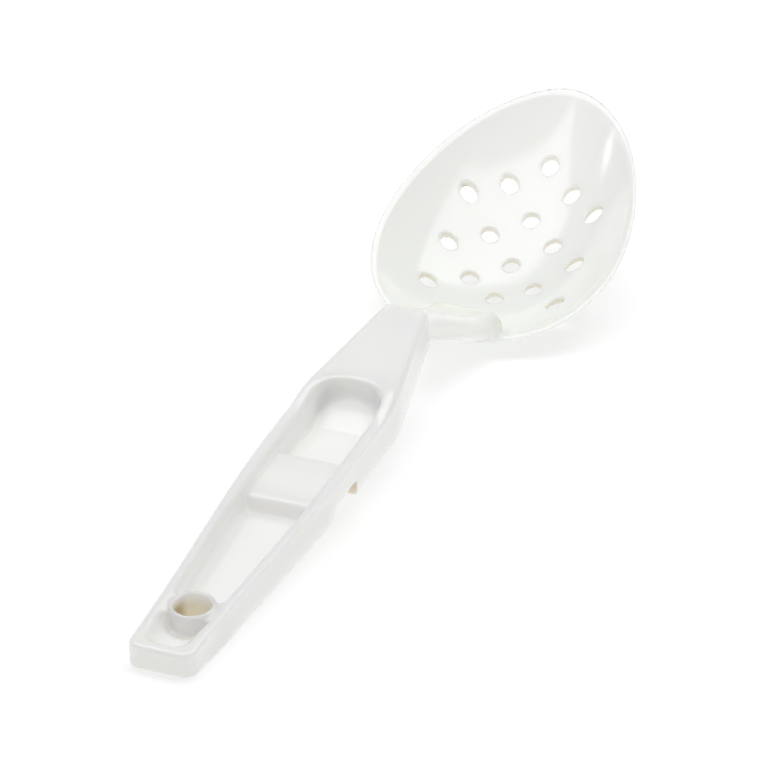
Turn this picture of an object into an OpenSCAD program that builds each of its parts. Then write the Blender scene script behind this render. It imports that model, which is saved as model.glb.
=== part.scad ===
// Perforated serving spoon, one clear-walled moulding: bowl, neck and trough-shaped handle.
// Every zone is drawn with the spoon's length along Y, tail at zero, and the direction in
// which the mould opens along Z. Height zero is the bowl's rim at its widest line.
// The finished spoon is then tilted so that it lies as it does on a table.

/* [Bowl] */
// Width across the outside of the rim
bowl_w = 62.8; // [50:0.1:74]
// Widest line to the rim's near end
bowl_near_len = 34.5; // [28:0.5:40]
// Widest line to the tip
bowl_far_len = 51.8; // [44:0.1:60]
// Depth inside, below the rim
bowl_depth = 14.5; // [10:0.1:18]
// Wall of the bowl
bowl_wall = 1.6; // [0.8:0.1:2]
// Deepest point ahead of the widest line
bowl_deep_ahead = 6.1; // [4:0.1:14]
// Slope of the rim at its widest line, rising to the tip, in degrees
bowl_rim_tilt = 16.5; // [8:0.5:20]
// How far the rim's tip bends down from that slope
bowl_rim_bow = 0.9; // [0:0.1:3]

/* [Perforations] */
// Diameter of a hole
hole_d = 4.35; // [3:0.05:6]
// Spacing of the holes along a column
hole_pitch = 14.3; // [12:0.1:16]
// Spacing of the columns
hole_column = 8.25; // [7:0.05:9.5]
// Middle of the pattern ahead of the widest line
hole_middle_ahead = 6.2; // [3:0.1:9]
// The hole nearest the neck sits this much closer to its neighbour
hole_last_shift = 2.2; // [0:0.1:4]

/* [Handle] */
// Length of the front floor, from the notch's foot to the trough's half-round end
front_floor_len = 18; // [15:0.1:22]
// Length from the start of the trough's half-round end to the handle's front end
pad_len = 40.1; // [36:0.1:44]
// Width at the tail
tail_w = 14.8; // [14.2:0.1:17]
// Width along the widest stretch
widest_w = 22.6; // [20:0.1:26]
// Start of the widest stretch ahead of the notch
widest_ahead = 5; // [2:0.5:8]
// Length of the widest stretch
widest_len = 15; // [10:0.5:17]
// Length over which the sides then bend in
taper_bend = 10; // [4:0.5:14]
// Width at the front end
front_w = 11; // [11:0.1:14]
// Radius of the tail's corners
tail_round = 3; // [2.7:0.1:5]
// Wall around the trough and under the pad
handle_wall = 2.5; // [1.8:0.1:2.7]
// Thickness of the floors
floor_t = 1.6; // [1.2:0.1:2]
// Height of the handle's front above the bowl's rim
handle_rise = 14.9; // [12:0.1:18]
// Fall of the pad's top from its front to the trough's end
pad_fall = 2.1; // [0.5:0.1:3.5]
// Drop from there to the level top of the walls beside the trough
wall_drop = 2.2; // [0.5:0.1:3]
// Length of that drop
wall_drop_len = 15; // [8:0.5:18]
// Depth of the rear section below the walls' top, where the flat under the tail ends
rear_depth = 7.8; // [7.6:0.1:8.4]
// Fall of the underside from there to the notch
rear_fall = 1; // [0:0.1:1.2]
// Length of the flat under the tail that rests on a table
tail_rest_len = 16; // [14:0.5:22]
// Depth of the heel below the walls' top
heel_depth = 9.2; // [8.6:0.1:12]
// Heel behind the handle's front end
heel_behind = 35; // [28:0.5:38]
// Length over which the heel is rounded, each way
heel_round = 7; // [3:0.5:10]
// Depth at the front end
front_depth = 10.2; // [9:0.1:12]

/* [Rim notch] */
// Start of the notch from the tail
notch_at = 65.5; // [62:0.5:69]
// Length of the notch
notch_len = 13.4; // [11:0.1:15]
// Run of the notch's sloping back
notch_lead = 3.5; // [2:0.1:5]
// Depth of the notch's roof below the walls' top
notch_roof_depth = 5.4; // [4.8:0.1:6]
// Thickness of the saddle over the notch
saddle_t = 2.4; // [1.4:0.1:3]
// Depth of the foot below the walls' top
foot_depth = 8.8; // [8.4:0.1:9.5]
// Thickness of the foot
foot_t = 2.2; // [1.6:0.1:3]

/* [Trough] */
// Radius of the half-round end
trough_r = 8.5; // [7:0.1:8.7]
// Depth of the front floor below the walls' top
front_floor_depth = 6.9; // [5.5:0.1:7.2]
// Length of the gentle slope at the front floor's end
lead_len = 4.4; // [2:0.1:6]
// Rise of that slope
lead_rise = 1.8; // [0.6:0.1:2.4]
// Rise of the front floor in all, up the steep slope after it
ramp_rise = 4.9; // [3:0.1:5.5]
// Thickness of the pad
pad_t = 2.2; // [1.6:0.1:3]

/* [Hanging hole] */
// Diameter of the hole
hang_d = 8; // [6:0.1:8.4]
// Wall of the tube around it
hang_wall = 1; // [0.8:0.05:1.15]
// Middle of the hole from the tail
hang_at = 17.5; // [15:0.5:20]
// Length of the webs that tie the tube to the walls
hang_web = 7; // [3:0.5:8]
// Drop of the webs' top below the walls
web_drop = 0.5; // [0.2:0.1:2]

/* [Neck] */
// Distance from the handle's front end to the bowl's near rim
neck_len = 28.8; // [25:0.1:34]
// Width at the handle
neck_w = 10; // [8:0.5:11]
// Width at the bowl's rim
neck_root_w = 18.5; // [14:0.5:20]
// Height of the neck's top above the rim
neck_over_rim = 5.2; // [3:0.1:7]
// How far the neck's root reaches into the bowl
neck_reach = 10.5; // [6:0.5:11]
// Drop from the handle's top to the neck's top
neck_step = 1.6; // [0.2:0.1:2]
// Thickness of the lip under the bowl's rim
neck_lip = 0.6; // [0.6:0.1:2]

/* [Hidden] */

bowl_colour = [0.88, 0.90, 0.86];
handle_colour = [0.92, 0.92, 0.90];
// Cuts run this far past what they cut
over = 1;
// Sides of the bowl's mesh, around it and from its middle to its rim
bowl_sides = 64;
bowl_rings = 11;
// Columns of holes on each side of the middle one, holes in the middle column and in the others
side_columns = 2;
middle_rows = 4;
side_rows = 3;
// Steps along a curved stretch of an outline
steps = 16;

// Outline powers of the bowl's near and far ends, and of its section
near_power_share = 2.25;
far_power_share = 1.76;
section_power_share = 2.4;

foot_at = notch_at + notch_len;
saddle_end = foot_at + foot_t;
trough_turn = saddle_end + front_floor_len;
handle_len = trough_turn + pad_len;
widest_at = foot_at + widest_ahead;
heel_at = handle_len - heel_behind;
bowl_mid_y = handle_len + neck_len + bowl_near_len;
bowl_near_y = bowl_mid_y - bowl_near_len;
taper_at = widest_at + widest_len;
trough_end = trough_turn + trough_r;
wall_top = handle_rise - pad_fall - wall_drop;
rear_bottom = wall_top - rear_depth;
notch_bottom = rear_bottom - rear_fall;
notch_roof = wall_top - notch_roof_depth;
foot_bottom = wall_top - foot_depth;
saddle_top = notch_roof + saddle_t;
front_floor = wall_top - front_floor_depth;
handle_deep = handle_rise + heel_depth;

function mix(a, b, share) = a + (b - a) * share;
function clip_share(u) = max(0, min(1, u));
function ease(u) = let (c = clip_share(u)) c * c * (3 - 2 * c);
function step_share(i) = i / steps;
function bend(p, q, r, share) =
    mix(mix(p, q, share), mix(q, r, share), share);

// How far a straight taper with a bend at its start has come in
function bend_run(u) = u < 0 ? 0 : u < taper_bend ? u * u / taper_bend / 2 : u - taper_bend / 2;
// Half the handle's width at a distance from its tail
function half_width(y) = mix(tail_w, widest_w, ease(y / widest_at)) / 2
    - (widest_w - front_w) / 2 * bend_run(y - taper_at) / bend_run(handle_len - taper_at);
function corner_cut(y) = y < tail_round
    ? tail_round - sqrt(tail_round * tail_round - pow(tail_round - y, 2))
    : 0;
function outer_x(y) = half_width(y) - corner_cut(y);
function inner_x(y) = half_width(y) - handle_wall;
// Places along a stretch, twice as close as elsewhere
function places(y0, y1) = [for (i = [0:2 * steps]) mix(y0, y1, step_share(i / 2))];
// Height of the handle's top line
function top_z(y) = y > trough_end
    ? handle_rise - pad_fall * (handle_len - y) / (handle_len - trough_end)
    : wall_top + wall_drop * ease(1 - (trough_end - y) / wall_drop_len);
function top_line(y0, y1, drop) = [for (y = places(y0, y1)) [y, top_z(y) - drop]];

// Height of the rim
function rim_z(y) = (y - bowl_mid_y) * tan(bowl_rim_tilt)
    - bowl_rim_bow * pow((y - bowl_mid_y) / bowl_far_len, 2);
// A power of a sine or cosine that keeps its sign
function signed_power(v, power) = sign(v) * pow(abs(v), power);
// Plan point of the bowl's rim, inset from its outer edge
function rim_xy(angle, inset) = let (
    far = sin(angle) >= 0,
    power = 2 / (far ? far_power_share : near_power_share),
    reach = (far ? bowl_far_len : bowl_near_len) - inset)
    [(bowl_w / 2 - inset) * signed_power(cos(angle), power),
     bowl_mid_y + reach * signed_power(sin(angle), power)];
deep_y = bowl_mid_y + bowl_deep_ahead;
// Point of the bowl's surface, from its deepest point (0) to its rim (1)
function bowl_point(angle, share, inset, depth) = let (
    rim = rim_xy(angle, inset),
    x = rim.x * share,
    y = mix(deep_y, rim.y, share))
    [x, y, rim_z(y) - depth * (1 - pow(share, section_power_share))];
function ring_share(j) = j / bowl_rings;
function bowl_angle(i) = 360 * i / bowl_sides;
function bowl_surface(inset, depth) = concat(
    [bowl_point(0, 0, inset, depth)],
    [for (j = [1:bowl_rings], i = [0:bowl_sides - 1])
        bowl_point(bowl_angle(i), ring_share(j), inset, depth)]);
function ring_at(base, j, i) = base + 1 + (j - 1) * bowl_sides + i % bowl_sides;
// Faces of one surface, which looks up or down
function surface_faces(base, up) = concat(
    [for (i = [0:bowl_sides - 1]) turn_face([base, ring_at(base, 1, i), ring_at(base, 1, i + 1)], up)],
    [for (j = [1:bowl_rings - 1], i = [0:bowl_sides - 1])
        turn_face([ring_at(base, j, i), ring_at(base, j + 1, i), ring_at(base, j + 1, i + 1)], up)],
    [for (j = [1:bowl_rings - 1], i = [0:bowl_sides - 1])
        turn_face([ring_at(base, j, i), ring_at(base, j + 1, i + 1), ring_at(base, j, i + 1)], up)]);
function turn_face(face, up) = up ? [face[0], face[2], face[1]] : face;
// Band of faces between two rings, given by the number of their first points
function band_faces(first, second) = concat(
    [for (i = [0:bowl_sides - 1]) [first + i, second + i, second + (i + 1) % bowl_sides]],
    [for (i = [0:bowl_sides - 1])
        [first + i, second + (i + 1) % bowl_sides, first + (i + 1) % bowl_sides]]);

inner_surface = bowl_surface(bowl_wall, bowl_depth);
outer_surface = bowl_surface(0, bowl_depth + bowl_wall);
surface_count = len(inner_surface);
last_ring = 1 + (bowl_rings - 1) * bowl_sides;

// Tilt at which the flat under the tail and the bowl's underside both touch a table
rest_tilt = max([for (p = outer_surface) atan2(rear_bottom - p.z, p.y - tail_rest_len)]);
function rest_y(y, z) =
    (y - tail_rest_len) * cos(rest_tilt) - (z - rear_bottom) * sin(rest_tilt);
tail_bottom = rear_bottom + tail_rest_len * tan(rest_tilt);
tip_y = bowl_mid_y + bowl_far_len;
rest_middle = (rest_y(0, top_z(0)) + rest_y(tip_y, rim_z(tip_y))) / 2;

module at_rest() {
    translate([0, -rest_middle, 0])
        rotate([rest_tilt, 0, 0])
            translate([0, -tail_rest_len, -rear_bottom])
                children();
}

// A side view drawn as [y, z] points, made as wide as the spoon
module side_solid(points) {
    rotate([90, 0, 90])
        linear_extrude(height = bowl_w, center = true)
            polygon(points);
}

// A plan drawn as [x, y] points, made taller than the handle
module plan_solid(points) {
    translate([0, 0, -handle_deep])
        linear_extrude(height = 2 * handle_deep)
            polygon(points);
}

// Plan of the space between the walls
module inner_plan(y0, y1) {
    plan_solid(concat(
        [for (i = [0:steps]) let (y = mix(y0, y1, step_share(i))) [inner_x(y), y]],
        [for (i = [steps:-1:0]) let (y = mix(y0, y1, step_share(i))) [-inner_x(y), y]]));
}

function reversed(points) = [for (i = [len(points) - 1:-1:0]) points[i]];

rear_underside = [[0, tail_bottom], [tail_rest_len, rear_bottom], [notch_at, notch_bottom]];
rear_floor_line = [for (p = reversed(rear_underside)) p + [0, floor_t]];
heel = [heel_at, wall_top - heel_depth];
front_low = [handle_len, handle_rise - front_depth];
foot_low = [foot_at + foot_t, foot_bottom];
function on_line(p, q, y) = mix(p, q, (y - p.x) / (q.x - p.x));
heel_back = on_line(foot_low, heel, heel_at - heel_round);
heel_ahead = on_line(heel, front_low, heel_at + heel_round);

// Whole side view of the handle
handle_side = concat(
    top_line(0, handle_len, 0),
    [front_low],
    [for (i = [steps:-1:0]) bend(heel_back, heel, heel_ahead, step_share(i))],
    [foot_low, [foot_at, foot_bottom], [foot_at, notch_roof], [notch_at + notch_lead, notch_roof]],
    reversed(rear_underside));

module handle_wall_plan() {
    plan_solid(concat(
        [for (y = places(tail_round, handle_len)) [outer_x(y), y]],
        [for (y = reversed(places(tail_round, handle_len))) [inner_x(y), y]]));
}

module side_wall() {
    intersection() {
        side_solid(handle_side);
        handle_wall_plan();
    }
}

module bowl() {
    color(bowl_colour) at_rest() difference() {
        polyhedron(
            points = concat(inner_surface, outer_surface),
            faces = concat(
                surface_faces(0, true),
                surface_faces(surface_count, false),
                band_faces(last_ring, surface_count + last_ring)));
        for (column = [-side_columns:side_columns])
            for (row = [0:(column == 0 ? middle_rows : side_rows) - 1])
                perforation(column, row);
    }
}

// One hole of the pattern, cut in the direction in which the mould opens
module perforation(column, row) {
    shift = column == 0 && row == middle_rows - 1 ? hole_last_shift : 0;
    rows_ahead = (middle_rows - abs(column)) / 2 - row;
    y = bowl_mid_y + hole_middle_ahead + rows_ahead * hole_pitch + shift;
    translate([column * hole_column, y, rim_z(y) - bowl_depth - bowl_wall - over])
        cylinder(d = hole_d, h = bowl_depth + bowl_wall + 2 * over, $fn = 48);
}

// Everything from the bowl's inner surface down, which the neck has to clear
module bowl_mass() {
    mass_bottom = -handle_deep - bowl_depth;
    floor_ring = [for (i = [0:bowl_sides - 1])
        let (p = rim_xy(bowl_angle(i), 0)) [p.x, p.y, mass_bottom]];
    rim_ring = [for (i = [0:bowl_sides - 1]) bowl_point(bowl_angle(i), 1, 0, 0)];
    points = concat(inner_surface, rim_ring, floor_ring, [[0, bowl_mid_y, mass_bottom]]);
    rim_first = surface_count;
    floor_first = rim_first + bowl_sides;
    middle = floor_first + bowl_sides;
    polyhedron(points = points, faces = concat(
        surface_faces(0, true),
        band_faces(last_ring, rim_first),
        band_faces(rim_first, floor_first),
        [for (i = [0:bowl_sides - 1])
            [floor_first + i, middle, floor_first + (i + 1) % bowl_sides]]));
}

neck_crest_y = bowl_near_y + neck_over_rim / 2;
neck_crest = [neck_crest_y, rim_z(neck_crest_y) + neck_over_rim];
neck_end = bowl_near_y + neck_reach;
neck_nose = [neck_end, rim_z(neck_end) + neck_over_rim / 2];
neck_nose_low = [neck_end, rim_z(neck_end) - neck_over_rim];
neck_side = concat(
    [[handle_len, handle_rise - neck_step]],
    [for (i = [0:steps]) bend(neck_crest, neck_nose, neck_nose_low, step_share(i))],
    [[bowl_near_y, rim_z(bowl_near_y) - neck_lip], front_low]);
function neck_x(y) = mix(neck_w, neck_root_w, ease((y - handle_len) / neck_len)) / 2;
function neck_round(y) = y > neck_end - neck_w / 2
    ? neck_w / 2 - sqrt(max(0, pow(neck_w / 2, 2) - pow(y - neck_end + neck_w / 2, 2)))
    : 0;

module neck() {
    color(handle_colour) at_rest() difference() {
        intersection() {
            side_solid(neck_side);
            plan_solid(concat(
                [for (y = places(handle_len, neck_end)) [neck_x(y) - neck_round(y), y]],
                [for (y = reversed(places(handle_len, neck_end))) [neck_round(y) - neck_x(y), y]]));
        }
        bowl_mass();
    }
}

// The pad's plate and the wall that closes it at the front
front_wall_y = handle_len - handle_wall;
module thumb_pad() {
    color(handle_colour) at_rest() {
        difference() {
            intersection() {
                side_solid(concat(
                    top_line(trough_turn, handle_len, 0),
                    [front_low, [front_wall_y, on_line(heel, front_low, front_wall_y).y]],
                    top_line(front_wall_y, trough_turn, pad_t)));
                inner_plan(trough_turn, handle_len);
            }
            trough_end_cylinder(handle_wall);
        }
    }
}

module trough_end_cylinder(grow) {
    translate([0, trough_turn, -handle_deep])
        cylinder(r = trough_r + grow, h = 2 * handle_deep, $fn = 96);
}

// Half-round wall between the trough and the hollow under the pad
end_wall_y = trough_end + handle_wall;
module trough_end_wall() {
    color(handle_colour) at_rest() difference() {
        intersection() {
            side_solid(concat(
                top_line(trough_turn, end_wall_y, 0),
                [[end_wall_y, front_floor - floor_t], [trough_turn, front_floor - floor_t]]));
            inner_plan(trough_turn, end_wall_y);
            trough_end_cylinder(handle_wall);
        }
        trough_end_cylinder(0);
    }
}

module handle_wall_right() {
    color(handle_colour) at_rest() side_wall();
}

module handle_wall_left() {
    color(handle_colour) at_rest() mirror([1, 0, 0]) side_wall();
}

// Rounded wall across the tail, with the start of both side walls
module tail_end_wall() {
    color(handle_colour) at_rest() difference() {
        intersection() {
            side_solid(handle_side);
            plan_solid(concat(
                [for (i = [0:steps]) let (y = mix(0, tail_round, step_share(i))) [outer_x(y), y]],
                [for (i = [steps:-1:0]) let (y = mix(0, tail_round, step_share(i))) [-outer_x(y), y]]));
        }
        inner_plan(handle_wall, tail_round + over);
    }
}

module rear_trough_floor() {
    color(handle_colour) at_rest() difference() {
        intersection() {
            side_solid(concat(rear_underside, rear_floor_line));
            inner_plan(handle_wall, notch_at);
        }
        hang_cylinder(hang_d + 2 * hang_wall);
    }
}

// Raised floor over the notch that hooks on the edge of a pan
module notch_saddle() {
    color(handle_colour) at_rest() intersection() {
        side_solid([[notch_at, notch_bottom], [notch_at, saddle_top], [foot_at, saddle_top],
                    [foot_at, notch_roof], [notch_at + notch_lead, notch_roof]]);
        inner_plan(notch_at, foot_at);
    }
}

// Wall that hooks behind the edge of the pan
module notch_foot() {
    color(handle_colour) at_rest() intersection() {
        side_solid([[foot_at, foot_bottom], [foot_at, saddle_top],
                    [saddle_end, saddle_top], [saddle_end, foot_bottom]]);
        inner_plan(foot_at, saddle_end);
    }
}

// Level floor, gentle slope and steep slope, lowered by a thickness
function front_floor_line(drop) = [
    [saddle_end, front_floor - drop],
    [trough_turn, front_floor - drop],
    [trough_turn + lead_len, front_floor + lead_rise - drop],
    [trough_end, front_floor + ramp_rise - drop]];

module front_trough_floor() {
    color(handle_colour) at_rest() intersection() {
        side_solid(concat(front_floor_line(0), reversed(front_floor_line(floor_t))));
        union() {
            inner_plan(saddle_end, trough_turn);
            trough_end_cylinder(0);
        }
    }
}

module hang_cylinder(d) {
    translate([0, hang_at, -handle_deep])
        cylinder(d = d, h = 2 * handle_deep, $fn = 96);
}

// Webs from wall to wall, standing on the rear floor
module hang_webs() {
    intersection() {
        side_solid(concat(top_line(0, notch_at, web_drop), rear_floor_line));
        translate([0, hang_at, 0])
            cube([tail_w, hang_web, 2 * handle_deep], center = true);
        inner_plan(handle_wall, 2 * hang_at);
    }
}

// Tube for the hanging hole, tied to both side walls
module hanging_hole_boss() {
    color(handle_colour) at_rest() difference() {
        union() {
            intersection() {
                side_solid(handle_side);
                hang_cylinder(hang_d + 2 * hang_wall);
            }
            hang_webs();
        }
        hang_cylinder(hang_d);
    }
}

bowl();
neck();
thumb_pad();
trough_end_wall();
handle_wall_left();
handle_wall_right();
tail_end_wall();
rear_trough_floor();
notch_saddle();
notch_foot();
front_trough_floor();
hanging_hole_boss();
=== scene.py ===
from math import atan2, cos, radians, sin, tan

import bpy
import numpy as np
from mathutils import Matrix, Vector


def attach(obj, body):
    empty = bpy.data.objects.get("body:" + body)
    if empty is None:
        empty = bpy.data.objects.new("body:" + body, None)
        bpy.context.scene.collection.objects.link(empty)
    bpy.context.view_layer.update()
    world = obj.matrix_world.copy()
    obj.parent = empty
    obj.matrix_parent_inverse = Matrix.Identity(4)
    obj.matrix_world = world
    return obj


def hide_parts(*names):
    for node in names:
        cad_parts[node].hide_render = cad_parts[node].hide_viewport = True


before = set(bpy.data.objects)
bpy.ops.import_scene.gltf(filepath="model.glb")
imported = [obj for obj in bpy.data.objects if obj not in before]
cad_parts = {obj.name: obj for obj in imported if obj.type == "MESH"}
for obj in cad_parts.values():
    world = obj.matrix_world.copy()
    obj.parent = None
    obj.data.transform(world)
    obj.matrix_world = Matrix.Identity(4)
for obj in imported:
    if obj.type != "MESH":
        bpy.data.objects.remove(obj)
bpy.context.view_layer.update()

# Sizes, in millimetres
# Drawing frame: Y from the tail to the tip, Z along the mould's opening, height zero at the
# bowl's rim at its widest line. The shape is the same on both sides, so X is taken without its sign.

# Places along the handle, from the tail
TAIL_REST = 16.0
HANG_AT = 17.5
NOTCH_AT = 65.5
FOOT_AT = NOTCH_AT + 13.4
SADDLE_END = FOOT_AT + 2.2
TURN = SADDLE_END + 18.0
TROUGH_R = 8.5
TROUGH_END = TURN + TROUGH_R
HANDLE_LEN = TURN + 40.1
HEEL_AT = HANDLE_LEN - 35.0
NOTCH_LEAD = 3.5
LEAD_LEN = 4.4

# Widths of the handle
TAIL_W = 14.8
WIDEST_W = 22.6
FRONT_W = 11.0
WIDEST_AT = FOOT_AT + 5.0
TAPER_AT = FOOT_AT + 20.0
TAPER_BEND = 10.0
WALL = 2.5
TAIL_WALL = WALL + 0.1
END_WALL = 2.0

# Heights of the handle
RISE = 14.9
PAD_FALL = 2.1
WALL_DROP = 2.2
DROP_LEN = 15.0
WALL_TOP = RISE - PAD_FALL - WALL_DROP
FLOOR = 1.6
REAR_BOTTOM = WALL_TOP - 7.8
NOTCH_BOTTOM = REAR_BOTTOM - 1.0
ROOF = WALL_TOP - 5.4
FOOT_BOTTOM = WALL_TOP - 8.8
SADDLE_TOP = ROOF + 2.4
FRONT_FLOOR = WALL_TOP - 6.9
LEAD_RISE = 1.8
RAMP_RISE = 4.9
HEEL_Z = WALL_TOP - 9.2
FRONT_Z = RISE - 10.2

# Cosine of the mean slope of the handle's top, which turns a height into a distance
TOP_LEAN = 0.985

# Hanging hole, its tube and the webs beside it
HANG_R = 4.0
TUBE_R = 5.0
WEB = 7.0
WEB_DROP = 0.7
WEB_INSET = 1.25
TUBE_FOOT = 0.4

# The rear floor lies higher near the tail
TAIL_LIFT = 1.8
TAIL_LIFT_END = 15.0
TAIL_LIFT_FADE = 6.0

# Neck: a bar on a wider sole
NECK_LEN = 28.8
NECK_W = 10.0
NOSE_W = 19.4
NOSE_REACH = 11.2
NECK_START = HANDLE_LEN - 4.0
SOLE_T = 1.3
SOLE_EDGE = 0.9
SOLE_FADE = 10.0
SOLE_LOW = 0.2
SOLE_OVER_RIM = 1.4
CREST_STEP = 2.5
CREST_FALL = 0.57
CREST_BEND = 0.0088
CREST_BEND_LEN = 8.0
NECK_CLEAR = 0.4

# Bowl
NEAR = 34.5
FAR = 51.8
BOWL_W = 62.8
DEPTH = 14.5
SHELL = 1.6
RIM_NEAR = HANDLE_LEN + NECK_LEN
NECK_END = RIM_NEAR + NOSE_REACH
MID = RIM_NEAR + NEAR
DEEP_Y = MID + 6.1
RIM_TILT = radians(16.5)
RIM_SLOPE = tan(RIM_TILT)
RIM_BOW = 0.9
NEAR_POWER = 2.25
FAR_POWER = 1.76
SECTION_POWER = 2.4

# The bowl's underside is lifted a little, so that the mesh doesn't dip below the table
UNDER_LIFT = 0.08

# The rim's outline is drawn a little large, and its sharp outer edge is cut back from there
OUTLINE_GROWN = 0.25
RIM_BLUNT = 0.5

# Holes of the bowl
HOLE_R = 2.175
PITCH = 14.3
COLUMN = 8.25
LAST_SHIFT = 2.2
PATTERN_AHEAD = 6.2
COLUMN_ROWS = (4, 3, 3)

# Rounds of the handle
TAIL_ROUND = 3.0
FRONT_ROUND = 2.2
TAIL_EDGE, WALL_EDGE, PAD_EDGE = 1.1, 0.7, 2.3
TAIL_UNDER_EDGE, UNDER_EDGE = 1.0, 0.8
TROUGH_EDGE = 1.2
NOTCH_ROOF_ROUND, NOTCH_FOOT_ROUND, NOTCH_EDGE = 0.3, 0.5, 0.4
HOLLOW_ROUND, HOLLOW_EDGE = 0.8, 0.4
TUBE_EDGE, WEB_EDGE, WEB_JOIN, TUBE_JOIN, BORE_EDGE = 0.35, 0.5, 0.4, 0.9, 0.3

# Rounds and drafts of the trough
TAIL_FILLET, REAR_FILLET, FRONT_FILLET = 4.6, 2.2, 0.7
TAIL_INNER_ROUND, END_JOIN = 3.6, 1.0
SADDLE_REAR_LEN, SADDLE_REAR_ROUND, SADDLE_FRONT_ROUND = 2.5, 1.0, 0.3
REAR_OVERLAP, RAMP_JOIN, SADDLE_JOIN = 2.0, 0.2, 0.6
DRAFT, DEEP_DRAFT, DEEP_FROM, DEEP_RUN, DRAFT_DEPTH = 0.03, 0.07, 2.5, 5.0, 12.0
END_POWER, END_INSET, ROOT_GUARD = 2.3, 0.3, 1e-6

# Where a round, fillet or draft of the handle goes over into the next: its start and its run
TAIL_EDGE_FADE = (0.0, 14.0)
PAD_EDGE_FADE = (90.0, 18.0)
UNDER_EDGE_FADE = (0.0, 12.0)
DEEP_DRAFT_FADE = (60.0, 20.0)
REAR_FILLET_FADE = (12.0, 8.0)
FRONT_FILLET_FADE = (55.0, 12.0)

# Rounds of the neck and the bowl
NOSE_ROUND = 4.0
BAR_ROUND, SOLE_ROUND, SOLE_JOIN, NECK_EDGE = 4.0, 0.4, 0.8, 0.6
RIM_ROUND, BLUNT_ROUND, HOLE_EDGE = 0.6, 0.3, 0.25
HANDLE_JOIN, NECK_JOIN = 0.01, 1.4
LOW_RIM_JOIN, HIGH_RIM_JOIN, RIM_JOIN_BELOW, RIM_JOIN_RUN = 1.4, 4.5, 3.5, 7.0

# Tables of the rim's outline and of the handle's underside, and the search for the tilt
RIM_FINE, RIM_STEPS, RIM_PAD, RIM_SPREAD = 4001, 1801, 120, 22.0
SHARE_LEAST, SHARE_MOST = 0.2, 1.6
LOW_FROM, LOW_TO, LOW_STEPS = -10, 160, 3401
HEEL_PAD, HEEL_SPREAD, HEEL_REACH = 150, 44.0, 16
RINGS, SPOKE_ANGLE = 12, 5.625

# Mesh: the grid, and how far each shape is worked out past its own ends
VOXEL = 0.45
OUTSIDE = 9.0
SLAB = 24
GRID_START = -3.4 * VOXEL
GRID_TOP = RISE + 4
HANDLE_HALF = 13.0
HANDLE_LOWEST = -6.0
BOWL_LOWEST = -20.0
HANDLE_AFTER, NECK_BEFORE, NECK_AFTER, BOWL_BEFORE = 3, 6, 4, 4

# Mesh: moving its points onto the true surface, and its normals
PASSES = 3
STEP_MOST = 0.6 * VOXEL
SLOPE_LEAST = 0.2
SLOPE_STEP, NORMAL_STEP = 0.04, 0.12
SHARP_BELOW = 0.97
TINY = 1e-9

# Share of the painted shade or the painted glow where it is strongest, for places where it isn't all
# of it
FOOT_SHADE, HOLE_SHADE = 0.9, 0.75
WALL_GLOW, TAIL_GLOW, TUBE_GLOW = 0.6, 0.3, 0.8

# Depth in the hanging hole at which the painted shade is all there
BORE_DEPTH = 3.5


def ease(u):
    u = np.clip(u, 0, 1)
    return u * u * (3 - 2 * u)


def fade(y, start, run):
    """From 0 to 1 along a run that begins at a place."""
    return ease((y - start) / run)


def mix(a, b, u):
    return a + (b - a) * u


def meet(a, b, r=0.0):
    """What lies in both shapes, with a round of radius r where they meet."""
    if np.isscalar(r) and r == 0:
        return np.maximum(a, b)
    u, v = np.maximum(a + r, 0), np.maximum(b + r, 0)
    return np.minimum(np.maximum(a, b), -r) + np.hypot(u, v)


def join(a, b, r=0.0):
    """What lies in either shape, with a fillet of radius r where they meet."""
    return -meet(-a, -b, r)


def bell(half, spread):
    """Weights that smooth a row of values."""
    weights = np.exp(-0.5 * (np.arange(-half, half + 1) / spread) ** 2)
    return weights / weights.sum()


def line(p, q, y):
    return p[1] + (q[1] - p[1]) * (y - p[0]) / (q[0] - p[0])


def bend_run(u):
    """How far a straight taper with a bend at its start has come in."""
    u = np.maximum(u, 0)
    return np.where(u < TAPER_BEND, u * u / TAPER_BEND / 2, u - TAPER_BEND / 2)


def half_width(y):
    rear = mix(TAIL_W, WIDEST_W, ease(y / WIDEST_AT)) / 2
    come_in = (WIDEST_W - FRONT_W) / 2 * bend_run(y - TAPER_AT)
    return rear - come_in / bend_run(HANDLE_LEN - TAPER_AT)


def top_z(y):
    """Height of the handle's top: the walls, then the pad that rises to the front."""
    pad = RISE - PAD_FALL * (HANDLE_LEN - y) / (HANDLE_LEN - TROUGH_END)
    wall = WALL_TOP + WALL_DROP * ease(1 - (TROUGH_END - y) / DROP_LEN)
    return np.where(y > TROUGH_END, pad, wall)


def rim_z(y):
    """Height of the bowl's rim, tilted and slightly bowed."""
    return (y - MID) * RIM_SLOPE - RIM_BOW * ((y - MID) / FAR) ** 2


def outline_table(inset):
    """Distance from the deepest point to the rim's outline, by direction, with its breaks smoothed."""
    t = np.radians(np.linspace(-90, 90, RIM_FINE))
    far = np.sin(t) >= 0
    power = np.where(far, 2 / FAR_POWER, 2 / NEAR_POWER)
    reach = np.where(far, FAR, NEAR) - inset
    x = (BOWL_W / 2 - inset) * np.abs(np.cos(t)) ** power
    y = MID + reach * np.sign(np.sin(t)) * np.abs(np.sin(t)) ** power - DEEP_Y
    angles = np.radians(np.linspace(-90, 90, RIM_STEPS))
    dist = np.interp(angles, np.arctan2(y, x), np.hypot(x, y))
    wide = np.concatenate([dist[RIM_PAD:0:-1], dist, dist[-2 : -RIM_PAD - 2 : -1]])
    smooth = np.convolve(wide, bell(RIM_PAD // 2, RIM_SPREAD), mode="same")
    return angles, smooth[RIM_PAD:-RIM_PAD]


OUTER = outline_table(-OUTLINE_GROWN)
INNER = outline_table(SHELL)


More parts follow.
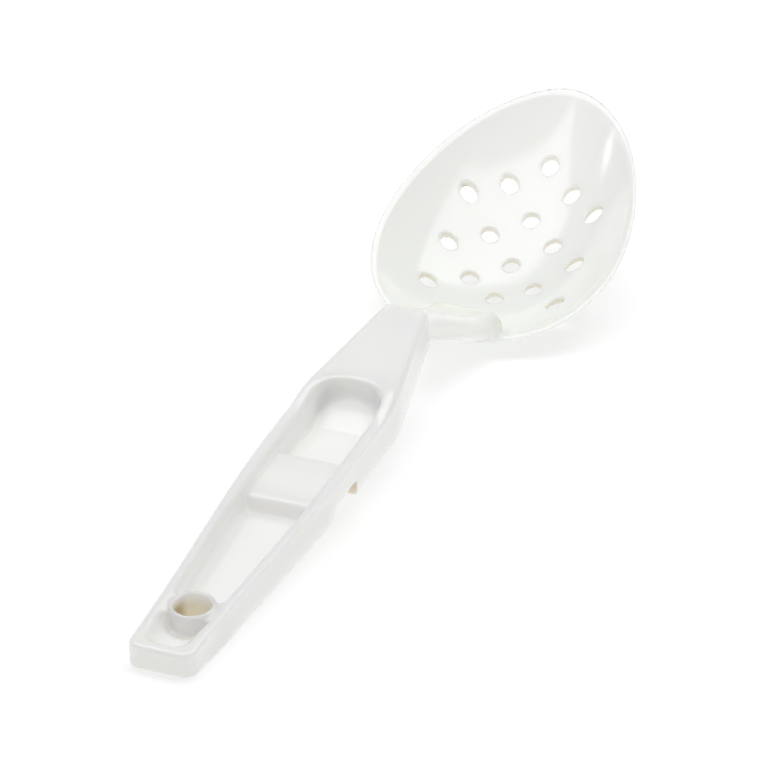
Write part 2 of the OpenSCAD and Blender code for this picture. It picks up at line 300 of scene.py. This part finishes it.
def bowl_height(x, y, table, depth):
    """Height of a bowl surface, the point's share of the way to the outline, and the steepness."""
    dy = y - DEEP_Y
    angle = np.arctan2(dy, x)
    reach = np.interp(angle, *table)
    share = np.minimum(np.hypot(x, dy) / reach, SHARE_MOST)
    z = rim_z(y) - depth * (1 - share**SECTION_POWER)
    steep = depth * SECTION_POWER * share ** (SECTION_POWER - 1) / reach
    gx = steep * np.cos(angle)
    gy = RIM_SLOPE + steep * np.sin(angle)
    return z, share, np.sqrt(1 + gx * gx + gy * gy)


def hole_places():
    """Middles of the holes, for the middle column and the two on one side of it."""
    places = []
    for column, rows in enumerate(COLUMN_ROWS):
        for row in range(rows):
            ahead = (2 - column / 2 - row) * PITCH
            shift = LAST_SHIFT if column == 0 and row == rows - 1 else 0.0
            places.append((column * COLUMN, MID + PATTERN_AHEAD + ahead + shift))
    return places


HOLES = hole_places()


def bowl(x, y, z):
    """The bowl's shell, cut off at the rim, with its holes."""
    zi, _, ni = bowl_height(x, y, INNER, DEPTH)
    zo, share, no = bowl_height(x, y, OUTER, DEPTH + SHELL - UNDER_LIFT)
    shell = np.maximum((z - zi) / ni, (zo - z) / no)
    shell = meet(shell, (z - rim_z(y)) * cos(RIM_TILT), RIM_ROUND)
    beyond = np.hypot(x, y - DEEP_Y) * (1 - 1 / np.maximum(share, SHARE_LEAST))
    shell = meet(shell, beyond + RIM_BLUNT, BLUNT_ROUND)
    for hx, hy in HOLES:
        shell = meet(shell, HOLE_R - np.hypot(x - hx, y - hy), HOLE_EDGE)
    return shell


def rest_tilt():
    """The angle at which the flat under the tail and the bowl's underside both touch the table."""
    angles = np.radians(np.arange(0, 360, SPOKE_ANGLE))
    best = 0.0
    for share in np.arange(RINGS) / (RINGS - 1):
        for a in angles:
            far = sin(a) >= 0
            power = 2 / (FAR_POWER if far else NEAR_POWER)
            y = MID + (FAR if far else NEAR) * np.sign(sin(a)) * abs(sin(a)) ** power
            y = mix(DEEP_Y, y, share)
            z = rim_z(y) - (DEPTH + SHELL) * (1 - share**SECTION_POWER)
            best = max(best, atan2(REAR_BOTTOM - z, y - TAIL_REST))
    return best


TILT = rest_tilt()
TAIL_BOTTOM = REAR_BOTTOM + TAIL_REST * tan(TILT)


def bottom_table():
    """Height of the handle's underside, with a soft bend at the heel."""
    ys = np.linspace(LOW_FROM, LOW_TO, LOW_STEPS)
    corners = [(LOW_FROM, TAIL_BOTTOM), (0, TAIL_BOTTOM), (TAIL_REST, REAR_BOTTOM),
               (NOTCH_AT, NOTCH_BOTTOM), (SADDLE_END, FOOT_BOTTOM), (HEEL_AT, HEEL_Z),
               (HANDLE_LEN, FRONT_Z), (LOW_TO, FRONT_Z + 5)]
    raw = np.interp(ys, [c[0] for c in corners], [c[1] for c in corners])
    soft = np.convolve(np.pad(raw, HEEL_PAD, mode="edge"), bell(HEEL_PAD, HEEL_SPREAD), mode="valid")
    near_heel = np.clip(1 - np.abs(ys - HEEL_AT) / HEEL_REACH, 0, 1)
    return ys, mix(raw, np.maximum(raw, soft), ease(near_heel * 2))


BOTTOM = bottom_table()


def trough_floor(y, z):
    """The rear floor, the raised saddle, the front floor and its two slopes, as one shape."""
    under_rear = np.interp(y, [0, TAIL_REST, NOTCH_AT], [TAIL_BOTTOM, REAR_BOTTOM, NOTCH_BOTTOM])
    rear_top = under_rear + FLOOR + TAIL_LIFT * ease((TAIL_LIFT_END - y) / TAIL_LIFT_FADE)
    rear = np.maximum(z - rear_top, y - NOTCH_AT - REAR_OVERLAP)
    saddle = meet(z - SADDLE_TOP, NOTCH_AT - SADDLE_REAR_LEN - y, SADDLE_REAR_ROUND)
    saddle = meet(saddle, y - SADDLE_END, SADDLE_FRONT_ROUND)
    lead_top = (y - TURN) * LEAD_RISE / LEAD_LEN
    lead = (z - FRONT_FLOOR - lead_top) / np.hypot(1, LEAD_RISE / LEAD_LEN)
    slope = (RAMP_RISE - LEAD_RISE) / (TROUGH_R - LEAD_LEN)
    ramp = (z - FRONT_FLOOR - LEAD_RISE - (y - TURN - LEAD_LEN) * slope) / np.hypot(1, slope)
    front = join(join(z - FRONT_FLOOR, lead), ramp, RAMP_JOIN)
    return join(join(front, rear), saddle, SADDLE_JOIN)


def trough(x, y, z):
    """The open hollow between the walls, above the floors."""
    below = np.clip(top_z(y) - z, 0, DRAFT_DEPTH)
    deep = DEEP_DRAFT * np.clip(below - DEEP_FROM, 0, DEEP_RUN)
    draft = DRAFT * below + deep * fade(y, *DEEP_DRAFT_FADE)
    side = x - half_width(y) + WALL + draft
    run = np.maximum(y - TURN, 0)
    reach = (x**END_POWER + run**END_POWER + ROOT_GUARD) ** (1 / END_POWER)
    end = reach - (TROUGH_R - END_INSET - draft)
    plan = meet(meet(side, end, END_JOIN), TAIL_WALL - y, TAIL_INNER_ROUND)
    rear_fillet = mix(TAIL_FILLET, REAR_FILLET, fade(y, *REAR_FILLET_FADE))
    fillet = mix(rear_fillet, FRONT_FILLET, fade(y, *FRONT_FILLET_FADE))
    return meet(plan, -trough_floor(y, z), fillet)


def notch(y, z):
    """The notch that hooks on the edge of a pan, open downwards."""
    lead = ROOF - NOTCH_BOTTOM
    slope = -lead * (y - NOTCH_AT) + NOTCH_LEAD * (z - NOTCH_BOTTOM)
    slope = slope / np.hypot(lead, NOTCH_LEAD)
    return meet(meet(z - ROOF, slope, NOTCH_ROOF_ROUND), y - FOOT_AT, NOTCH_FOOT_ROUND)


def pad_hollow(x, y, z, trough_shape):
    """The hollow under the thumb pad, closed at the front and by the trough's end wall."""
    sides = np.maximum(x - half_width(y) + WALL, TURN - y)
    sides = np.maximum(sides, END_WALL - trough_shape)
    roof = meet(y - HANDLE_LEN + WALL, z - top_z(y) + WALL, HOLLOW_ROUND)
    return meet(sides, roof, HOLLOW_ROUND)


def hanging_tube(x, y, z, low):
    """The tube around the hanging hole, with a web to each wall."""
    tube = meet(np.hypot(x, y - HANG_AT) - TUBE_R, z - top_z(y), TUBE_EDGE)
    webs = np.maximum(np.abs(y - HANG_AT) - WEB / 2, x - half_width(y) + WEB_INSET)
    webs = meet(webs, z - top_z(y) + WEB_DROP, WEB_EDGE)
    return meet(join(tube, webs, WEB_JOIN), low + TUBE_FOOT - z)


def handle(x, y, z):
    """The handle: its outer form less notch, trough and pad's hollow, with the hanging tube."""
    plan = meet(x - half_width(y), -y, TAIL_ROUND)
    plan = meet(plan, y - HANDLE_LEN, FRONT_ROUND)
    rear_edge = mix(TAIL_EDGE, WALL_EDGE, fade(y, *TAIL_EDGE_FADE))
    edge = mix(rear_edge, PAD_EDGE, fade(y, *PAD_EDGE_FADE))
    outer = meet(plan, (z - top_z(y)) * TOP_LEAN, edge)
    low = np.interp(y, *BOTTOM)
    slope = np.interp(y, BOTTOM[0], np.gradient(BOTTOM[1], BOTTOM[0]))
    under_edge = mix(TAIL_UNDER_EDGE, UNDER_EDGE, fade(y, *UNDER_EDGE_FADE))
    outer = meet(outer, (low - z) / np.sqrt(1 + slope * slope), under_edge)
    body = meet(outer, -notch(y, z), NOTCH_EDGE)
    trough_shape = trough(x, y, z)
    body = meet(body, -trough_shape, TROUGH_EDGE)
    body = meet(body, -pad_hollow(x, y, z, trough_shape), HOLLOW_EDGE)
    body = np.maximum(join(body, hanging_tube(x, y, z, low), TUBE_JOIN), outer)
    return meet(body, HANG_R - np.hypot(x, y - HANG_AT), BORE_EDGE)


def neck(x, y, z):
    """A bar on a thin wider sole, which runs over the bowl's rim and ends in a squarish nose."""
    width = mix(NECK_W, NOSE_W, ease((y - HANDLE_LEN) / NECK_LEN)) / 2
    edge = SOLE_EDGE * ease((RIM_NEAR - y) / SOLE_FADE)
    sole = meet(meet(x - width, y - NECK_END, NOSE_ROUND), NECK_START - y)
    bar = meet(meet(x - width + edge, y - NECK_END, NOSE_ROUND), NECK_START - y)
    bend = CREST_BEND * np.maximum(y - RIM_NEAR + CREST_BEND_LEN, 0) ** 2
    crest = RISE - CREST_STEP - CREST_FALL * (y - HANDLE_LEN) + bend
    top = (z - crest) / np.hypot(1, CREST_FALL)
    low_start = (HANDLE_LEN, FRONT_Z - SOLE_LOW)
    low_end = (RIM_NEAR, float(rim_z(RIM_NEAR)) + SOLE_OVER_RIM)
    steep = np.hypot(1, (low_end[1] - low_start[1]) / NECK_LEN)
    low = line(low_start, low_end, y)
    zo, share, _ = bowl_height(x, y, OUTER, DEPTH + SHELL)
    low = np.where(share < 1, np.maximum(low, zo + NECK_CLEAR), low)
    sole = meet(sole, (z - low) / steep - SOLE_T, SOLE_ROUND)
    body = join(meet(bar, top, BAR_ROUND), sole, SOLE_JOIN)
    return meet(meet(body, top), (low - z) / steep, NECK_EDGE)


def spoon(p):
    """Signed distance, near enough, of the whole moulding at points in the drawing frame."""
    x, y, z = np.abs(p[:, 0]), p[:, 1], p[:, 2]
    at_handle = y < HANDLE_LEN + HANDLE_AFTER
    at_neck = (y > HANDLE_LEN - NECK_BEFORE) & (y < NECK_END + NECK_AFTER)
    at_bowl = y > RIM_NEAR - BOWL_BEFORE
    over_rim = ease((z - rim_z(y) + RIM_JOIN_BELOW) / RIM_JOIN_RUN)
    rim_join = mix(LOW_RIM_JOIN, HIGH_RIM_JOIN, over_rim)
    out = np.full(len(p), OUTSIDE)
    parts = ((at_handle, handle, HANDLE_JOIN), (at_neck, neck, NECK_JOIN), (at_bowl, bowl, rim_join))
    for where, shape, r in parts:
        d = shape(x[where], y[where], z[where])
        out[where] = join(out[where], d, r if np.isscalar(r) else r[where])
    return out


def slope_of(p, h):
    """The way in which the distance grows at each point, from steps of h to both sides."""
    g = np.empty_like(p)
    for i in range(3):
        step = np.zeros(3)
        step[i] = h
        g[:, i] = (spoon(p + step) - spoon(p - step)) / (2 * h)
    return g


def grid_field():
    """Distances on a grid, worked out slab by slab where the spoon can be, and mirrored in X."""
    x = np.arange(0, BOWL_W / 2 + 2 * VOXEL, VOXEL)
    y = np.arange(GRID_START, MID + FAR + 3 * VOXEL, VOXEL)
    z = np.arange(BOWL_LOWEST, GRID_TOP, VOXEL)
    field = np.full((len(x), len(y), len(z)), OUTSIDE, dtype=np.float32)
    for first in range(0, len(y), SLAB):
        ys = y[first : first + SLAB]
        nx = len(x) if ys[-1] > RIM_NEAR - BOWL_BEFORE else int(HANDLE_HALF / VOXEL)
        low = np.searchsorted(z, HANDLE_LOWEST) if ys[-1] < HANDLE_LEN else 0
        gx, gy, gz = np.meshgrid(x[:nx], ys, z[low:], indexing="ij")
        d = spoon(np.stack([gx.ravel(), gy.ravel(), gz.ravel()], axis=1))
        field[:nx, first : first + SLAB, low:] = d.reshape(gx.shape)
    whole = np.concatenate([field[:0:-1], field], axis=0)
    return whole, np.array([-x[-1], y[0], z[0]])


def surface_net(field, origin):
    """Vertices and quads where the field changes sign."""
    inside = field < 0
    cells = [n - 1 for n in field.shape]
    keys, points, quads = [], [], []
    for axis in range(3):
        a = [slice(None)] * 3
        b = [slice(None)] * 3
        a[axis], b[axis] = slice(0, -1), slice(1, None)
        at = np.argwhere(inside[tuple(a)] != inside[tuple(b)])
        f0 = field[tuple(a)][tuple(at.T)]
        f1 = field[tuple(b)][tuple(at.T)]
        point = at.astype(float)
        point[:, axis] += f0 / (f0 - f1)
        u, v = (axis + 1) % 3, (axis + 2) % 3
        around = []
        for du, dv in ((0, 0), (-1, 0), (-1, -1), (0, -1)):
            cell = at.copy()
            cell[:, u] += du
            cell[:, v] += dv
            key = (cell[:, 0] * cells[1] + cell[:, 1]) * cells[2] + cell[:, 2]
            around.append(key)
            keys.append(key)
            points.append(point)
        quad = np.stack(around, axis=1)
        flip = ~inside[tuple(a)][tuple(at.T)]
        quad[flip] = quad[flip][:, ::-1]
        quads.append(quad)
    keys, points, quads = np.concatenate(keys), np.concatenate(points), np.concatenate(quads)
    names, number = np.unique(keys, return_inverse=True)
    count = np.bincount(number)
    verts = np.stack([np.bincount(number, points[:, i]) / count for i in range(3)], axis=1)
    return verts * VOXEL + origin, np.searchsorted(names, quads)


def on_surface(verts):
    """The vertices, moved onto the true surface."""
    for _ in range(PASSES):
        g = slope_of(verts, SLOPE_STEP)
        size = np.maximum((g * g).sum(axis=1), SLOPE_LEAST)
        step = -spoon(verts)[:, None] * g / size[:, None]
        length = np.linalg.norm(step, axis=1, keepdims=True)
        verts = verts + step * np.minimum(1, STEP_MOST / np.maximum(length, TINY))
    return verts


def turned(y, z):
    """Along and up in the row frame, for directions of the drawing frame."""
    c, s = cos(TILT), sin(TILT)
    return y * c - z * s, y * s + z * c


def at_rest(p):
    """From the drawing frame, in millimetres, to the row frame, in metres."""
    tip = MID + FAR
    tail_y, _ = turned(0.0 - TAIL_REST, float(top_z(0.0)) - REAR_BOTTOM)
    tip_y, _ = turned(tip - TAIL_REST, float(rim_z(tip)) - REAR_BOTTOM)
    y, z = turned(p[:, 1] - TAIL_REST, p[:, 2] - REAR_BOTTOM)
    return np.stack([p[:, 0], y - (tail_y + tip_y) / 2, z], axis=1) / 1000


def painted_shade_of(p):
    """Painted shade: a warm brown painted deep in the bore, on the small holes' walls and on the
    notch's foot face, where shade falls and light comes through thick plastic.
    """
    x, y, z = np.abs(p[:, 0]), p[:, 1], p[:, 2]
    bore = ease((HANG_R + 0.35 - np.hypot(x, y - HANG_AT)) / 0.3)
    shade_share = bore * ease((top_z(y) - z) / BORE_DEPTH)
    foot = ease((0.9 - np.abs(y - FOOT_AT)) / 0.5) * ease((ROOF + 0.4 - z) / 0.5)
    shade_share = np.maximum(shade_share, FOOT_SHADE * foot)
    zi, _, _ = bowl_height(x, y, INNER, DEPTH)
    for hx, hy in HOLES:
        wall = ease((HOLE_R + 0.3 - np.hypot(x - hx, y - hy)) / 0.25)
        shade_share = np.maximum(shade_share, HOLE_SHADE * wall * ease((zi - z) / 0.8))
    return shade_share


def painted_glow_of(p):
    """Painted light: the trough's walls, steps, front slope, the tail's recess and the tube are
    painted paler, a painted glow for light let through the plastic and bounced into recesses where
    shade falls.
    """
    x, y, z = np.abs(p[:, 0]), p[:, 1], p[:, 2]
    run = np.maximum(y - TURN, 0)
    end = (x**END_POWER + run**END_POWER) ** (1 / END_POWER) - TROUGH_R
    plan = np.maximum(np.maximum(x - half_width(y) + WALL, end), WALL - y)
    wall = WALL_GLOW * ease((plan + 1.4) / 0.8)
    slope = ease((y - TURN - LEAD_LEN + 1) / 2)
    step = ease(1 - np.abs(y - NOTCH_AT + SADDLE_REAR_LEN) / 2.5)
    tail = TAIL_GLOW * ease((TAIL_LIFT_END - y) / 4)
    tube = TUBE_GLOW * ease((TUBE_R + 0.7 - np.hypot(x, y - HANG_AT)) / 0.5)
    tail = np.maximum(tail, tube * ease((HANG_AT - y) / 2))
    glow_share = np.maximum(np.maximum(wall, slope), np.maximum(step, tail))
    return glow_share * ease((top_z(y) - z - 0.8) / 1.5) * ease((0.8 - plan) / 0.6)


def add_attribute(mesh, name, values):
    attribute = mesh.attributes.new(name, "FLOAT", "POINT")
    attribute.data.foreach_set("value", values.astype(np.float32))


def set_normals(mesh, verts):
    """Normals of the true surface, or the mesh's own where an edge is too sharp for them."""
    normals = slope_of(verts, NORMAL_STEP)
    normals[:, 1], normals[:, 2] = turned(normals[:, 1], normals[:, 2])
    normals /= np.maximum(np.linalg.norm(normals, axis=1, keepdims=True), TINY)
    own = np.empty(len(verts) * 3, dtype=np.float32)
    mesh.vertex_normals.foreach_get("vector", own)
    own = own.reshape(-1, 3)
    sharp = (normals * own).sum(axis=1) < SHARP_BELOW
    normals[sharp] = own[sharp]
    mesh.normals_split_custom_set_from_vertices(normals.tolist())


def moulding():
    verts, quads = surface_net(*grid_field())
    verts = on_surface(verts)
    mesh = bpy.data.meshes.new("spoon_moulding")
    mesh.from_pydata(at_rest(verts).tolist(), [], quads.tolist())
    mesh.polygons.foreach_set("use_smooth", [True] * len(mesh.polygons))
    set_normals(mesh, verts)
    # Painted shade and painted glow, kept on the mesh for the material
    add_attribute(mesh, "painted_shade", painted_shade_of(verts))
    add_attribute(mesh, "painted_glow", painted_glow_of(verts))
    obj = bpy.data.objects.new("spoon_moulding", mesh)
    bpy.context.scene.collection.objects.link(obj)
    return obj


# Colours of the plastic: along the spoon from tail to tip, a paler painted glow on the trough's thin
# walls and recesses, and a warm painted shade in the holes and at the foot
HANDLE_TINT = (0.83, 0.832, 0.812)
BOWL_TINTS = ((0.70, (0.745, 0.78, 0.725)), (0.80, (0.75, 0.778, 0.735)),
              (0.90, (0.765, 0.77, 0.75)), (1.0, (0.765, 0.768, 0.75)))
TINTS = ((0.0, HANDLE_TINT), (0.64, HANDLE_TINT), *BOWL_TINTS)
# Painted glow: paler colour that stands in for light let through and bounced into the trough
GLOW_COLOUR = (0.95, 0.955, 0.95, 1)
# Painted shade: warm brown for shaded, thick plastic in the bore, the holes and the notch's foot
SHADE_COLOUR = (0.56, 0.48, 0.36, 1)
HALF_LEN_M = 0.126


def tint_along(nodes, links):
    """Colour by the place along the spoon."""
    place = nodes.new("ShaderNodeTexCoord")
    split = nodes.new("ShaderNodeSeparateXYZ")
    along = nodes.new("ShaderNodeMapRange")
    along.inputs["From Min"].default_value = -HALF_LEN_M
    along.inputs["From Max"].default_value = HALF_LEN_M
    tint = nodes.new("ShaderNodeValToRGB")
    while len(tint.color_ramp.elements) < len(TINTS):
        tint.color_ramp.elements.new(0.5)
    for stop, (share, colour) in zip(tint.color_ramp.elements, TINTS):
        stop.position = share
        stop.color = (*colour, 1)
    links.new(place.outputs["Object"], split.inputs[0])
    links.new(split.outputs["Y"], along.inputs["Value"])
    links.new(along.outputs["Result"], tint.inputs["Fac"])
    return tint.outputs["Color"]


def blend_by(nodes, links, name, colour, base):
    """The base colour, blended into another one by a named value of the mesh."""
    value = nodes.new("ShaderNodeAttribute")
    value.attribute_name = name
    blend = nodes.new("ShaderNodeMix")
    blend.data_type = "RGBA"
    blend.inputs["B"].default_value = colour
    links.new(value.outputs["Fac"], blend.inputs["Factor"])
    links.new(base, blend.inputs["A"])
    return blend.outputs["Result"]


def plastic():
    mat = bpy.data.materials.new("polycarbonate_white")
    mat.use_nodes = True
    nodes, links = mat.node_tree.nodes, mat.node_tree.links
    bsdf = nodes["Principled BSDF"]
    colour = tint_along(nodes, links)
    # Painted light over the tint: the painted glow, then the painted shade
    colour = blend_by(nodes, links, "painted_glow", GLOW_COLOUR, colour)
    colour = blend_by(nodes, links, "painted_shade", SHADE_COLOUR, colour)
    links.new(colour, bsdf.inputs["Base Color"])
    bsdf.inputs["Roughness"].default_value = 0.14
    bsdf.inputs["IOR"].default_value = 1.58
    bsdf.inputs["Subsurface Weight"].default_value = 1.0
    bsdf.inputs["Subsurface Radius"].default_value = (1.0, 0.95, 0.8)
    bsdf.inputs["Subsurface Scale"].default_value = 0.009
    return mat


spoon_obj = moulding()
spoon_obj.data.materials.append(plastic())
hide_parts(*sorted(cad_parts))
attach(spoon_obj, "root")


def pale_floor():
    """A plain floor with a soft glow of its own."""
    mat = bpy.data.materials.new("pale_floor")
    mat.use_nodes = True
    bsdf = mat.node_tree.nodes["Principled BSDF"]
    bsdf.inputs["Base Color"].default_value = (0.5, 0.5, 0.5, 1)
    bsdf.inputs["Roughness"].default_value = 0.8
    bsdf.inputs["Emission Color"].default_value = (1.0, 1.0, 1.0, 1)
    bsdf.inputs["Emission Strength"].default_value = 0.58
    bsdf.inputs["Specular IOR Level"].default_value = 0.1
    mesh = bpy.data.meshes.new("floor")
    mesh.from_pydata([(-3, -3, 0), (3, -3, 0), (3, 3, 0), (-3, 3, 0)], [], [(0, 1, 2, 3)])
    mesh.materials.append(mat)
    obj = bpy.data.objects.new("floor", mesh)
    bpy.context.scene.collection.objects.link(obj)
    return obj


def studio_world():
    scene = bpy.context.scene
    world = bpy.data.worlds.new("studio") if scene.world is None else scene.world
    scene.world = world
    scene.view_settings.view_transform = "Standard"
    world.use_nodes = True
    background = world.node_tree.nodes["Background"]
    background.inputs["Color"].default_value = (1.0, 1.0, 1.0, 1)
    background.inputs["Strength"].default_value = 0.37


def softbox(name, place, aim, size, watts, turn=0.0):
    """A rectangular light that faces a point; one that faces straight down can be turned."""
    lamp = bpy.data.lights.new(name, "AREA")
    lamp.shape = "RECTANGLE"
    lamp.size, lamp.size_y = size
    lamp.energy = watts
    obj = bpy.data.objects.new(name, lamp)
    obj.location = place
    obj.rotation_euler = (Vector(aim) - Vector(place)).to_track_quat("-Z", "Y").to_euler()
    obj.rotation_euler.z += radians(turn)
    bpy.context.scene.collection.objects.link(obj)


floor = pale_floor()
studio_world()
softbox("softbox_top", place=(-0.035, 0.155, 0.8), aim=(-0.035, 0.155, 0), size=(1.26, 0.76),
        watts=6.2, turn=23)
softbox("softbox_left", place=(-0.82, 0.17, 0.42), aim=(0, 0.11, 0), size=(0.1, 0.05), watts=0.09)


def photo_camera(azimuth, elevation, roll, lens_mm, distance, shift_right, shift_up):
    """A camera aimed at the origin, then shifted sideways; in radians and metres."""
    back = Vector((sin(azimuth) * cos(elevation), -cos(azimuth) * cos(elevation), sin(elevation)))
    right = Vector((cos(azimuth), sin(azimuth), 0))
    up = back.cross(right)
    right, up = right * cos(roll) + up * sin(roll), up * cos(roll) - right * sin(roll)
    spot = back * distance + right * shift_right + up * shift_up
    lens = bpy.data.cameras.new("camera")
    lens.sensor_width = 36
    lens.lens = lens_mm
    obj = bpy.data.objects.new("camera", lens)
    obj.matrix_world = Matrix((
        (right.x, up.x, back.x, spot.x),
        (right.y, up.y, back.y, spot.y),
        (right.z, up.z, back.z, spot.z),
        (0, 0, 0, 1),
    ))
    bpy.context.scene.collection.objects.link(obj)
    bpy.context.scene.camera = obj


# The photo's view
photo_camera(azimuth=radians(20.8275), elevation=radians(25.4422), roll=radians(1.7009),
             lens_mm=181.656, distance=0.889446, shift_right=-0.000432, shift_up=0.009787)
